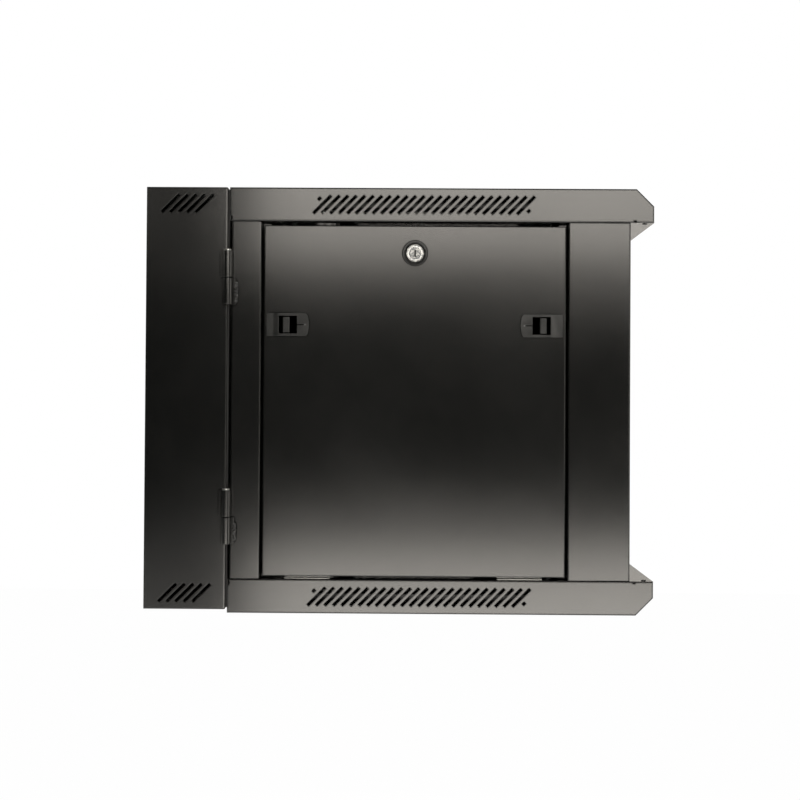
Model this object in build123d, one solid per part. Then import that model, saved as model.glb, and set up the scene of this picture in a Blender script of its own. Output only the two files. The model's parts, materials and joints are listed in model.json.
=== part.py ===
from build123d import *
import math
import os

os.makedirs("parts", exist_ok=True)

# A double-section 19-inch wall cabinet, 9 units high, in millimetres. X is the width, +Z is up, the wall
# is the plane Y = 0 and the front faces -Y. The origin is the centre of the wall's hole pattern.

# Overall sizes; the width and the height follow from the rack opening
rack_units = 9
unit_height = 44.45
rack_end_room = 50.475
rack_hole_spacing = 465.1
rack_hole_inset = 7.55
side_room = 75.0
main_depth = 500.0
wall_depth = 96.0
section_gap = 2.0
wall_lift = 4.0

# Sheet thicknesses and bends
sheet = 1.2
post_sheet = 1.5
rail_sheet = 2.0
strike_sheet = 2.0
bend = 3.0
crisp_bend = 2.0
tight_bend = 1.7
lip = 15.0
cut_past = 1.0

# Top and bottom covers
cover_flange = 40.0
nose_overhang = 27.5
nose_chamfer = 20.5
nose_return = 72.0
relief_radius = 4.0
relief_inset = 0.5
notch_width = 3.5
notch_height = 3.0
notch_inset = 3.2

# Slanted vent slots
slot_width = 3.8
slot_length = 29.6
short_slot = 4.5
short_slot_shift = 6.8
slot_pitch = 10.0
slot_count = 25
slot_lean = 45.0
slot_shift_left = 10.25
slot_shift_right = 6.75
wall_slot_count = 5
wall_slot_first = 28.1
wall_slot_drop = 19.4

# Fan vents in the top cover
fan_vent = 104.0
fan_slot = 6.0
fan_slot_pitch = 11.0
fan_spacing = 240.0

# Cable entries
entry_width = 300.0
entry_depth = 50.0
entry_flange = 10.0
entry_play = 0.5
main_entry_place = 55.0

# Posts
rear_post_start = 3.0
rear_post_width = 35.0
front_post_width = 73.0
stop_flange = 10.0
front_face_width = 42.0
front_return = 12.5
tab_length = 30.0
tab_inset = 3.0
tab_gap = 1.0
post_seam = 0.7

# Depth rails and rack rails
depth_rail_past = 8.0
depth_rail_height = 10.5
depth_rail_width = 24.0
depth_rail_drop = 10.0
foot_length = 12.0
foot_gap = 1.0
foot_past = 2.0
front_rail_setback = 52.5
rear_rail_place = 90.0
rack_hole = 9.5
rack_hole_edge = 6.35
rack_face_width = 25.0
rack_web = 35.0
rack_foot = 12.0

# Wall section
back_sheet = 1.5
back_lip = 20.0
back_play = 0.3
nut_gap = 0.3
wall_hole_radius = 5.0
wall_hole_across = 406.4
wall_hole_end_room = 50.5
cable_opening_width = 320.0
cable_opening_height = 260.0
cable_opening_radius = 12.0

# Barrel hinges
barrel_radius = 5.8
barrel_standoff = 0.9
hinge_pin_radius = 3.0
hinge_running_play = 0.05
knuckle_length = 31.0
knuckle_gap = 1.0
upper_hinge_drop = 67.6
lower_hinge_rise = 73.0
wing_sheet = 3.0
wing_reach = 9.5
pin_head_radius = 4.4
pin_head_height = 1.8

# Side panels
panel_gap_side = 3.0
panel_gap_top = 4.6
panel_gap_bottom = 3.6
panel_seat_play = 0.3
panel_bend = 1.5
hook_inset = 4.0
hook_web_inset = 10.0
hook_drop = 9.0
hook_length = 53.0
hook_tongue = 33.0
hook_place = 26.5
hook_slot_margin = 2.0
hook_slot_reach = 8.5

# Quarter-turn locks
lock_face_radius = 10.4
lock_body_radius = 9.3
lock_bore_play = 0.05
lock_plug_radius = 7.25
bezel_radius = 15.5
bezel_hole_radius = 13.6
bezel_rise = 0.8
bezel_dish = 1.6
bezel_seat = 1.0
bezel_taper = 0.6
bezel_break = 0.3
lock_play = 0.2
lock_face_height = 2.0
lock_groove = 0.4
housing_length = 16.3
cam_reach = 43.0
cam_width = 13.0
cam_sheet = 2.0
cam_place = 17.3
cam_hub_rim = 1.0
hook_hub_rim = 2.0
shank = 6.0
key_slot_width = 1.7
key_slot_height = 8.5
key_slot_depth = 3.0
nut_across = 24.0
nut_height = 4.0
cam_screw_radius = 4.0
cam_screw_height = 2.4
panel_lock_drop = 32.5

# Slide latches
latch_place = 27.3
latch_drop = 117.4
latch_length = 47.5
latch_width = 27.0
latch_rise = 1.8
latch_corner = 2.0
latch_bulge = 2.4
latch_bulge_radius = 39.0
latch_slit_length = 8.4
latch_slit_width = 1.0
latch_slit_depth = 1.2
latch_slope_start = 1.0
latch_slope_end = 6.5
latch_slope_drop = 0.6
latch_body_length = 44.0
latch_body_width = 23.0
latch_body_depth = 10.5
latch_opening_in = 12.0
latch_opening_out = 9.4
latch_opening_width = 21.0
latch_wall = 1.9
latch_roof = 1.0
latch_floor = 1.2
latch_play = 0.3
finger_length = 8.5
finger_width = 18.0
finger_place = 0.75
finger_top = 0.9
finger_rounding = 1.2
tray_inner = 4.5
tray_outer = 21.0
tray_top = 4.5
tongue_tip = 29.6
tongue_width = 12.0
tongue_top = 5.0
tongue_sheet = 3.5
tongue_play = 0.6
tongue_root = 1.0
tongue_lead = 1.5

# Swing lock and its strike
swing_lock_place = 20.5
hook_pin_reach = 24.0
hook_pin_radius = 3.0
hook_clearance = 0.6
hook_ring = 5.4
hook_start = -30.0
hook_end = 52.0
hook_arm = 12.0
strike_width = 24.0
strike_base = 20.0
strike_pin_play = 0.7
strike_plate_place = 24.0

# Glass door
door_side_gap = 3.0
door_end_gap = 2.0
door_thickness = 16.0
door_setback = 0.5
door_side_bar = 70.0
door_end_bar = 34.0
glass_sheet = 4.0
glass_overlap = 10.0
seal_sheet = 1.0
seal_width = 8.0
clip_length = 18.0
clip_width = 8.0
clip_sheet = 1.5
clip_hold = 6.0
pivot_inset = 7.0
pivot_setback = 6.0
pivot_radius = 3.0
pivot_length = 20.0
pivot_rise = 6.0
pivot_head_radius = 4.0
pivot_head = 2.0
bush_radius = 5.0
bush_flange_radius = 7.0
bush_flange = 0.8
bush_play = 0.1
door_lock_inset = 22.0
door_cam_reach = 33.0
door_slot_pitch = 20.0
door_slot_end_room = 58.0

# Fasteners and plugs
bolt_radius = 3.0
bolt_hole_radius = 3.2
bolt_across = 10.0
bolt_head = 4.0
bolt_tail = 7.0
screw_radius = 2.1
screw_hole_radius = 2.3
screw_across = 8.0
screw_head = 3.0
plug_radius = 2.1
plug_head_radius = 2.6
plug_head = 1.2
bush_stand = 1.0
plug_length = 2.6
plug_side = 8.0
plug_setback = 10.0
stud_length = 16.0
stud_side_room = 50.0
stud_end_room = 66.5

# Places worked out from the sizes above
rack_opening = rack_hole_spacing - 2 * rack_hole_inset
rack_hole_offsets = (rack_hole_edge, unit_height / 2, unit_height - rack_hole_edge)
width = rack_opening + 2 * side_room
height = rack_units * unit_height + 2 * rack_end_room
side = width / 2
top = height / 2
main_rear = -(wall_depth + section_gap)
main_front = main_rear - main_depth
cover_face = top - cover_flange
post_front = main_depth - nose_overhang
front_post_start = post_front - front_post_width
front_rail_place = post_front - front_rail_setback
fan_place = main_depth / 2
panel_rear = rear_post_start + rear_post_width + panel_gap_side
panel_front = front_post_start - panel_gap_side
panel_middle = (panel_rear + panel_front) / 2
slot_row_reach = (slot_count - 1) * slot_pitch / 2
first_slot_left = panel_middle - slot_row_reach + slot_shift_left
first_slot_right = panel_middle - slot_row_reach + slot_shift_right
panel_top = cover_face - panel_gap_top
panel_bottom = -cover_face + panel_gap_bottom
panel_fold = lip - panel_seat_play
panel_lock_height = panel_top - panel_lock_drop
latch_height = panel_top - latch_drop
wall_bottom = -top + wall_lift
wall_hole_down = 2 * (top - wall_hole_end_room)
upper_hinge = cover_face - upper_hinge_drop
lower_hinge = -cover_face + lower_hinge_rise
hinge_x = -(side + barrel_standoff + barrel_radius)
hinge_y = main_rear + section_gap / 2
door_half = side - front_face_width - door_side_gap
door_top = cover_face - door_end_gap
door_front = post_front - door_setback
door_slot_count = int(2 * (door_top - door_slot_end_room) / door_slot_pitch) + 1
inner_top = top - sheet
depth_rail_top = top - depth_rail_drop
depth_rail_bottom = depth_rail_top - depth_rail_height
depth_rail_side = rack_opening / 2 + rack_face_width + rack_foot + depth_rail_past


def depth(place):
    return main_rear - place


def block(x0, x1, y0, y1, z0, z1):
    size = Box(abs(x1 - x0), abs(y1 - y0), abs(z1 - z0))
    return Pos((x0 + x1) / 2, (y0 + y1) / 2, (z0 + z1) / 2) * size


def rod(x, y, z, radius, length, turn=(0, 0, 0)):
    return Pos(x, y, z) * Rot(*turn) * Cylinder(radius, length)


def other_side(shape):
    return mirror(shape, about=Plane.YZ)


def turned_over(shape):
    return Rot(0, 180, 0) * shape


def folded(points, radius, thickness, hand):
    path = FilletPolyline(*points, radius=radius)
    outline = offset(Wire(path.edges()), amount=thickness, side=hand, kind=Kind.INTERSECTION)
    return make_face(outline.edges())


def hex_head(across, length):
    flat = RegularPolygon(radius=across / math.sqrt(3), side_count=6)
    return extrude(flat, amount=length)


def save(name, *shapes):
    solids = [solid for shape in shapes for solid in shape.solids()]
    export_step(solids[0] if len(solids) == 1 else Compound(children=solids), "parts/" + name + ".step")


# Slanted slots


def slot_cut(x, y, z, lean, length):
    return Pos(x, y, z) * Rot(lean, 0, 0) * Box(4 * sheet, slot_width, length)


def slot_row(x, first, z, lean, count):
    return [slot_cut(x, first - k * slot_pitch, z, lean, slot_length) for k in range(count)]


def cover_slots(hand, first):
    x = hand * side
    z = top - cover_flange / 2
    lean = -hand * slot_lean
    shift = short_slot_shift
    cuts = slot_row(x, depth(first), z, lean, slot_count)
    cuts.append(slot_cut(x, depth(first - slot_pitch + shift), z - hand * shift, lean, short_slot))
    after = first + slot_count * slot_pitch
    cuts.append(slot_cut(x, depth(after - shift), z + hand * shift, lean, short_slot))
    return cuts


# Covers of the main section


def cover_profile():
    corner = main_front + nose_chamfer
    points = [(main_rear, cover_face), (main_rear, top), (corner, top)]
    points += [(main_front, top - nose_chamfer), (main_front, cover_face)]
    return make_face(Polyline(*points, close=True))


def side_edges(shape):
    faces = shape.faces().sort_by(Axis.X)
    return faces[0].edges() + faces[-1].edges()


def cover_shell():
    outer = extrude(Plane.YZ * cover_profile(), amount=side, both=True)
    outer = fillet(side_edges(outer), tight_bend)
    hollow = offset(cover_profile(), -sheet, kind=Kind.INTERSECTION)
    inner = extrude(Plane.YZ * hollow, amount=side - sheet, both=True)
    inner = fillet(side_edges(inner), tight_bend - sheet)
    reach = side - lip
    mouth = block(-reach, reach, main_rear - lip, main_front + nose_return,
                  cover_face - cut_past, cover_face + 2 * sheet)
    return outer - inner - mouth


def corner_reliefs():
    cuts = []
    for hand in (-1, 1):
        cuts.append(rod(hand * side, main_rear + relief_inset, cover_face + relief_radius, relief_radius,
                        4 * sheet, (0, 90, 0)))
        start = depth(post_front + notch_inset)
        cuts.append(block(hand * (side + cut_past), hand * (side - 2 * sheet), start, start - notch_width,
                          cover_face - cut_past, cover_face + notch_height))
    return cuts


def fan_cuts():
    cuts = []
    rows = int(fan_vent / fan_slot_pitch)
    for centre in (-fan_spacing / 2, fan_spacing / 2):
        for k in range(rows):
            off = (k - (rows - 1) / 2) * fan_slot_pitch
            length = 2 * math.sqrt((fan_vent / 2) ** 2 - off ** 2)
            cuts.append(Pos(centre + off, depth(fan_place), top) * Box(fan_slot, length, 4 * sheet))
    return cuts


def cable_entry(y):
    return Pos(0, y, top) * Box(entry_width, entry_depth, 4 * sheet)


def post_bolt_places():
    x = side - lip / 2 - sheet / 2
    return [(x, rear_post_start + rear_post_width / 2), (x, front_post_start + tab_length / 2 + tab_inset)]


def foot_bolt_places():
    x = depth_rail_side - depth_rail_width / 2 - post_sheet
    front_end = main_depth - nose_return + foot_length + foot_past
    return [(x, sheet + foot_gap + foot_length / 2), (x, front_end - foot_length / 2)]


def cover_bolt_holes():
    z = cover_face + sheet / 2
    places = post_bolt_places() + foot_bolt_places()
    return [rod(hand * x, depth(s), z, bolt_hole_radius, 4 * sheet) for x, s in places for hand in (-1, 1)]


def pivot_x():
    return -(door_half - pivot_inset)


def pivot_place():
    return door_front - pivot_setback


def plug_holes():
    z = cover_face + sheet / 2
    y = main_front + plug_setback
    return [rod(hand * (side - plug_side), y, z, plug_radius + bush_play, 4 * sheet) for hand in (-1, 1)]


def hook_places():
    return [panel_rear + hook_place, panel_front - hook_place - hook_length]


def hook_slots():
    cuts = []
    outer = side - hook_inset + hook_slot_margin
    half = hook_tongue / 2 + hook_slot_margin
    for start in hook_places():
        middle = start + hook_length / 2
        for hand in (-1, 1):
            cuts.append(block(hand * outer, hand * (outer - hook_slot_reach), depth(middle - half),
                              depth(middle + half), cover_face - cut_past, cover_face + 2 * sheet))
    return cuts


def cover(pivot_hand):
    shell = cover_shell()
    cuts = cover_slots(-1, first_slot_left) + cover_slots(1, first_slot_right) + corner_reliefs()
    cuts += cover_bolt_holes() + plug_holes() + hook_slots()
    x = pivot_hand * pivot_x()
    cuts.append(rod(x, depth(pivot_place()), cover_face, bush_radius + bush_play, 4 * sheet))
    cuts.append(cable_entry(depth(main_entry_place)))
    return shell - cuts


def cable_cover(y):
    z = inner_top
    flange = block(-entry_width / 2 - entry_flange, entry_width / 2 + entry_flange,
                   y - entry_depth / 2 - entry_flange, y + entry_depth / 2 + entry_flange, z - sheet, z)
    pad = Pos(0, y, z + sheet / 2) * Box(entry_width - 2 * entry_play, entry_depth - 2 * entry_play, sheet)
    return flange + pad


# Posts


def latch_slot(place):
    x = side - tongue_top - tongue_sheet / 2
    slot = Box(tongue_sheet + 4 * tongue_play, 6 * post_sheet, tongue_width + 4 * tongue_play)
    return Pos(-x, depth(place), latch_height) * slot


def end_tabs(x_in, start, stop):
    x_out = side - post_sheet / 2
    tab = block(-x_out, -x_in, depth(start), depth(stop), cover_face - post_sheet, cover_face)
    return tab + mirror(tab, about=Plane.XY)


def rear_post():
    back = depth(rear_post_start)
    jamb = depth(rear_post_start + rear_post_width)
    points = [(-(side - lip), back), (-side, back), (-side, jamb), (-(side - lip), jamb)]
    points.append((-(side - lip), jamb - stop_flange))
    bends = [tight_bend, crisp_bend, crisp_bend]
    face = folded(points, bends, post_sheet, Side.LEFT)
    bar = extrude(face, amount=cover_face - post_seam, both=True)
    bar += end_tabs(side - lip + tab_gap, rear_post_start + post_sheet / 2, rear_post_start + tab_length)
    x, place = post_bolt_places()[0]
    bar -= [rod(-x, depth(place), hand * cover_face, bolt_hole_radius, 6 * post_sheet) for hand in (-1, 1)]
    return bar - latch_slot(rear_post_start + rear_post_width)


def swing_lock_hole():
    return rod(side, depth(swing_lock_place), 0, lock_body_radius + lock_play, 6 * post_sheet, (0, 90, 0))


def front_post():
    jamb = depth(front_post_start)
    front = depth(post_front)
    inner = -(side - front_face_width)
    points = [(-(side - lip), jamb + stop_flange), (-(side - lip), jamb), (-side, jamb), (-side, front)]
    points += [(inner, front), (inner, front + front_return)]
    face = folded(points, crisp_bend, post_sheet, Side.LEFT)
    bar = extrude(face, amount=cover_face - post_seam, both=True)
    tab_end = front_post_start + tab_length + 2 * tab_inset
    bar += end_tabs(side - lip + tab_gap, front_post_start + post_sheet / 2, tab_end)
    x, place = post_bolt_places()[1]
    bar -= [rod(-x, depth(place), hand * cover_face, bolt_hole_radius, 6 * post_sheet) for hand in (-1, 1)]
    return bar - latch_slot(front_post_start)


# Rails


def depth_rail():
    x = -depth_rail_side
    rear = sheet + foot_gap
    front = main_depth - nose_return + foot_length + foot_past
    points = [(x + depth_rail_width, depth_rail_bottom), (x, depth_rail_bottom), (x, depth_rail_top)]
    points.append((x + depth_rail_width, depth_rail_top))
    face = folded(points, crisp_bend, post_sheet, Side.RIGHT)
    bar = extrude(Plane.XZ * face, amount=front - rear)
    bar = Pos(0, depth(rear), 0) * bar
    seat = cover_face + sheet
    for start in (rear, front - foot_length):
        near, far = depth(start), depth(start + foot_length)
        leg = block(x, x + post_sheet, near, far, seat, depth_rail_bottom + bend)
        foot = block(x, x + depth_rail_width, near, far, seat, seat + post_sheet)
        bar += leg + foot
    places = [(place, seat) for place in foot_bolt_places()]
    places += [(place, depth_rail_bottom) for place in rail_bolt_places()]
    return bar - [rod(-at, depth(s), z, bolt_hole_radius, 4 * post_sheet) for (at, s), z in places]


def rail_bolt_places():
    x = rack_opening / 2 + rack_face_width + rack_foot / 2
    return [(x, front_rail_place - rack_web / 2), (x, rear_rail_place + rack_web / 2)]


def rack_rail(place, toward):
    inner = -rack_opening / 2
    web = inner - rack_face_width
    face = depth(place)
    back = depth(place - toward * rack_web)
    points = [(inner, face), (web, face), (web, back), (web - rack_foot, back)]
    profile = folded(points, bend, rail_sheet, Side.RIGHT if toward > 0 else Side.LEFT)
    bar = extrude(profile, amount=depth_rail_bottom, both=True)
    tab = block(web - rack_foot, web + rail_sheet / 2, face + toward * rail_sheet, back,
                depth_rail_bottom - rail_sheet, depth_rail_bottom)
    bar += tab + mirror(tab, about=Plane.XY)
    base = -rack_units * unit_height / 2
    levels = [base + unit * unit_height + off for unit in range(rack_units) for off in rack_hole_offsets]
    x = -rack_hole_spacing / 2
    cuts = [Pos(x, face, z) * Box(rack_hole, 4 * rail_sheet, rack_hole) for z in levels]
    middle = (face + back) / 2
    cuts += [rod(web - rack_foot / 2, middle, hand * depth_rail_bottom, bolt_hole_radius, 6 * rail_sheet)
             for hand in (-1, 1)]
    return bar - cuts


def bolt(x, y, z, up):
    shape = hex_head(bolt_across, bolt_head) + Pos(0, 0, -bolt_tail / 2) * Cylinder(bolt_radius, bolt_tail)
    if not up:
        shape = Rot(180, 0, 0) * shape
    return Pos(x, y, z) * shape


def frame_bolts():
    bolts = []
    for hand in (-1, 1):
        for x, s in post_bolt_places():
            bolts.append(bolt(hand * x, depth(s), cover_face + sheet, True))
        for x, s in foot_bolt_places():
            bolts.append(bolt(hand * x, depth(s), cover_face, False))
        for x, s in rail_bolt_places():
            bolts.append(bolt(hand * x, depth(s), depth_rail_bottom + post_sheet, True))
    return bolts + [turned_over(one) for one in bolts]


# Wall section


def wall_box():
    outer = block(-side, side, -wall_depth, 0, wall_bottom, top)
    outer = fillet(outer.faces().sort_by(Axis.Y)[0].edges() + outer.edges().filter_by(Axis.Y), tight_bend)
    inner = block(-side + sheet, side - sheet, -wall_depth + sheet, cut_past,
                  wall_bottom + sheet, top - sheet)
    inner_edges = inner.faces().sort_by(Axis.Y)[0].edges() + inner.edges().filter_by(Axis.Y)
    inner = fillet(inner_edges, tight_bend - sheet)
    mouth = block(-side + lip, side - lip, -wall_depth - cut_past, -wall_depth + 2 * sheet,
                  wall_bottom + lip, top - lip)
    return outer - inner - mouth


def wall_frame():
    shell = wall_box()
    ring = block(-side + sheet / 2, side - sheet / 2, -back_sheet, -back_sheet - sheet,
                 wall_bottom + sheet / 2, top - sheet / 2)
    window = block(-side + back_lip, side - back_lip, 0, -4 * sheet, wall_bottom + back_lip, top - back_lip)
    shell += ring - window
    cuts = [cable_entry(-wall_depth / 2)]
    cuts.append(Pos(0, 0, wall_bottom - top) * cable_entry(-wall_depth / 2))
    for hand in (-1, 1):
        for z in (top - wall_slot_drop, wall_bottom + wall_slot_drop):
            cuts += slot_row(hand * side, -wall_slot_first, z, -hand * slot_lean, wall_slot_count)
    for x, z in back_screw_places():
        cuts.append(rod(x, -back_sheet, z, screw_hole_radius, 6 * sheet, (90, 0, 0)))
    return shell - cuts


def back_screw_places():
    x = side - back_lip / 2
    z_mid = (top + wall_bottom) / 2
    step = (top - wall_bottom) / 2 - back_lip
    return [(hand * x, z_mid + k * step) for hand in (-1, 1) for k in (-1, 0, 1)]


def back_plate():
    edge = sheet + back_play
    plate = block(-side + edge, side - edge, -back_sheet, 0, wall_bottom + edge, top - edge)
    opening = RectangleRounded(cable_opening_width, cable_opening_height, cable_opening_radius)
    plate -= extrude(Plane.XZ * opening, amount=4 * back_sheet, both=True)
    wall_places = [(a * wall_hole_across / 2, b * wall_hole_down / 2) for a in (-1, 1) for b in (-1, 1)]
    cuts = [rod(x, 0, z, wall_hole_radius, 4 * back_sheet, (90, 0, 0)) for x, z in wall_places]
    cuts += [rod(x, 0, z, screw_hole_radius, 4 * back_sheet, (90, 0, 0)) for x, z in back_screw_places()]
    return plate - cuts


def back_screws():
    shank_length = sheet + back_sheet
    shank_part = Pos(0, 0, -shank_length / 2) * Cylinder(screw_radius, shank_length)
    shape = hex_head(screw_across, screw_head) + shank_part
    seat = Plane((0, -back_sheet - sheet, 0), x_dir=(1, 0, 0), z_dir=(0, -1, 0))
    return [Pos(x, 0, z) * (seat * shape) for x, z in back_screw_places()]


def wall_cable_covers():
    upper = cable_cover(-wall_depth / 2)
    lower = Pos(0, 0, wall_bottom + top) * mirror(upper, about=Plane.XY)
    return [upper, lower]


def earth_stud():
    place = (-side + stud_side_room, -back_sheet, wall_bottom + stud_end_room)
    seat = Plane(place, x_dir=(1, 0, 0), z_dir=(0, -1, 0))
    stud = seat * (Pos(0, 0, stud_length / 2) * Cylinder(bolt_radius, stud_length))
    ring = hex_head(bolt_across, bolt_head) - Cylinder(bolt_radius + bush_play, 4 * bolt_head)
    nuts = [seat * (Pos(0, 0, z) * ring) for z in (0, bolt_head + nut_gap)]
    return [stud] + nuts


# Hinges between the two sections


def knuckle(split, up):
    start = split + up * knuckle_gap / 2
    middle = start + up * knuckle_length / 2
    barrel = rod(hinge_x, hinge_y, middle, barrel_radius, knuckle_length)
    wing = block(-side - wing_sheet, -side, hinge_y, hinge_y + up * wing_reach,
                 middle - knuckle_length / 2, middle + knuckle_length / 2)
    bore = rod(hinge_x, hinge_y, middle, hinge_pin_radius + hinge_running_play, 2 * knuckle_length)
    return barrel + wing - bore


def hinge_pin(split):
    low = split - knuckle_gap / 2 - knuckle_length
    high = split + knuckle_gap / 2 + knuckle_length
    shaft = rod(hinge_x, hinge_y, (low + high) / 2, hinge_pin_radius, high - low)
    head = rod(hinge_x, hinge_y, high + pin_head_height / 2, pin_head_radius, pin_head_height)
    return shaft + head


# Side panels


def panel():
    outer = block(-side, -side + panel_fold, depth(panel_rear), depth(panel_front), panel_bottom, panel_top)
    outer = fillet(outer.faces().sort_by(Axis.X)[0].edges(), panel_bend)
    inner = block(-side + sheet, -side + panel_fold + cut_past, depth(panel_rear + sheet),
                  depth(panel_front - sheet), panel_bottom + sheet, panel_top - sheet)
    inner = fillet(inner.faces().sort_by(Axis.X)[0].edges(), panel_bend - sheet)
    shape = outer - inner
    foot_edge = -side + hook_inset
    web = -side + hook_web_inset
    for start in hook_places():
        near = depth(start)
        far = depth(start + hook_length)
        middle = depth(start + hook_length / 2)
        shape += block(web, web + sheet, near, far, panel_bottom + sheet / 2, -cover_face)
        shape += block(foot_edge, web + sheet, near, far, -cover_face + sheet, -cover_face)
        shape += block(foot_edge, foot_edge + sheet, middle - hook_tongue / 2, middle + hook_tongue / 2,
                       -cover_face + sheet, panel_bottom - hook_drop)
    cuts = [rod(-side, depth(panel_middle), panel_lock_height, bezel_hole_radius, 4 * sheet, (0, 90, 0))]
    hole = Box(latch_body_length + 2 * latch_play, latch_body_width + 2 * latch_play, 4 * sheet)
    slot = Box(4 * sheet, tongue_width + 2 * tongue_play, tongue_sheet + 2 * tongue_play)
    depth_of_slot = -(tongue_top + tongue_sheet / 2)
    slot = Pos(latch_place - sheet / 2, 0, depth_of_slot) * slot
    for hand in (-1, 1):
        cuts += [latch_at(hand, hole), latch_at(hand, slot)]
    return shape - cuts


def latch_at(hand, shape):
    place = panel_front - latch_place
    plane = Plane((-side, depth(place), latch_height), x_dir=(0, -1, 0), z_dir=(-1, 0, 0))
    placed = plane * shape
    if hand > 0:
        return placed
    return mirror(placed, about=Plane.XZ.offset(-depth(panel_middle)))


def latch_base():
    plate = extrude(RectangleRounded(latch_length, latch_width, latch_corner), amount=latch_rise)
    bulge_x = -latch_length / 2 - latch_bulge + latch_bulge_radius
    round_end = Pos(bulge_x, 0, latch_rise / 2) * Cylinder(latch_bulge_radius, latch_rise)
    clip = Box(2 * (latch_bulge + cut_past), latch_width - 2 * latch_corner, latch_rise)
    plate += round_end & Pos(-latch_length / 2, 0, latch_rise / 2) * clip
    body = Pos(0, 0, -latch_body_depth / 2) * Box(latch_body_length, latch_body_width, latch_body_depth)
    channel_in = latch_opening_in + latch_play + cut_past
    half = latch_body_width / 2 - latch_wall
    channel = block(-channel_in, latch_length, -half, half, -latch_body_depth + latch_floor, -latch_roof)
    opening = block(-latch_opening_in, latch_opening_out, -latch_opening_width / 2, latch_opening_width / 2,
                    -latch_roof - latch_play, latch_rise + cut_past)
    slit = block(-latch_opening_in - latch_slit_length, -latch_opening_in, -latch_slit_width / 2,
                 latch_slit_width / 2, latch_rise - latch_slit_depth, latch_rise + cut_past)
    start = latch_opening_out + latch_slope_start
    stop = latch_opening_out + latch_slope_end
    low = latch_rise - latch_slope_drop
    points = [(start, latch_rise), (stop, low), (latch_length, low), (latch_length, 2 * latch_rise)]
    points.append((start, 2 * latch_rise))
    outside = extrude(Plane.XZ * make_face(Polyline(*points, close=True)), amount=latch_width, both=True)
    return plate + body - channel - opening - slit - outside


def latch_slide():
    half = latch_body_width / 2 - latch_wall - latch_play
    low = -latch_body_depth + latch_floor + latch_play
    tray = block(-tray_inner, tray_outer, -half, half, low, -tray_top)
    finger = block(finger_place - finger_length / 2, finger_place + finger_length / 2, -finger_width / 2,
                   finger_width / 2, -tray_top, finger_top)
    finger = fillet(finger.faces().sort_by(Axis.Z)[-1].edges().filter_by(Axis.Y), finger_rounding)
    tongue = block(tray_outer - tongue_root, tongue_tip, -tongue_width / 2, tongue_width / 2,
                   -tongue_top - tongue_sheet, -tongue_top)
    tongue = chamfer(tongue.faces().sort_by(Axis.X)[-1].edges().filter_by(Axis.Y)[:1], tongue_lead)
    return tray + finger + tongue


# Quarter-turn locks, drawn about their own axis with +Z out of the sheet


def lock_seat(has_bezel):
    return -bezel_dish if has_bezel else 0


def lock_bezel():
    rim = bezel_radius - bezel_taper
    inside = lock_face_radius + lock_play
    wall = bezel_hole_radius - lock_play
    points = [(bezel_radius, 0), (rim, bezel_rise), (wall - bezel_break, bezel_rise), (inside, -bezel_dish)]
    hole = lock_body_radius + lock_play
    points += [(hole, -bezel_dish), (hole, -bezel_dish - bezel_seat)]
    points += [(wall, -bezel_dish - bezel_seat), (wall, 0)]
    return revolve(Plane.XZ * make_face(Polyline(*points, close=True)), Axis.Z)


def lock_housing(has_bezel):
    seat = lock_seat(has_bezel)
    bore = lock_plug_radius + lock_bore_play
    face = seat + lock_face_height
    groove = lock_body_radius - lock_groove
    points = [(bore, face), (groove, face), (lock_body_radius, face - lock_groove)]
    points += [(lock_body_radius + lock_groove, face), (lock_face_radius - lock_groove, face)]
    points += [(lock_face_radius, face - lock_groove), (lock_face_radius, seat), (lock_body_radius, seat)]
    points += [(lock_body_radius, -housing_length), (bore, -housing_length)]
    return revolve(Plane.XZ * make_face(Polyline(*points, close=True)), Axis.Z)


def lock_nut(has_bezel, wall):
    seat = -bezel_dish - bezel_seat if has_bezel else -wall
    ring = hex_head(nut_across, nut_height) - Cylinder(lock_body_radius + bush_play, 4 * nut_height)
    return Pos(0, 0, seat - nut_height) * ring


def lock_plug(has_bezel):
    face = lock_seat(has_bezel) + lock_face_height
    low = -cam_place + lock_play
    barrel = Pos(0, 0, (face + low) / 2) * Cylinder(lock_plug_radius, face - low)
    barrel -= Pos(0, 0, face) * Box(key_slot_width, key_slot_height, 2 * key_slot_depth)
    end = -cam_place - cam_sheet
    return barrel + Pos(0, 0, (low + end) / 2) * Box(shank, shank, low - end)


def shank_hole():
    return Box(shank + 2 * lock_bore_play, shank + 2 * lock_bore_play, 8 * cam_sheet)


def cam_screw():
    end = -cam_place - cam_sheet
    return Pos(0, 0, end - cam_screw_height) * hex_head(2 * cam_screw_radius, cam_screw_height)


def lock_cam(reach, angle):
    bar = Pos(reach / 2, 0, 0) * Box(reach, cam_width, cam_sheet)
    bar = fillet(bar.faces().sort_by(Axis.X)[-1].edges().filter_by(Axis.Z), cam_width / 3)
    hub = Cylinder(cam_width / 2 + cam_hub_rim, cam_sheet)
    return Pos(0, 0, -cam_place - cam_sheet / 2) * Rot(0, 0, angle) * (bar + hub - shank_hole())


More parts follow.
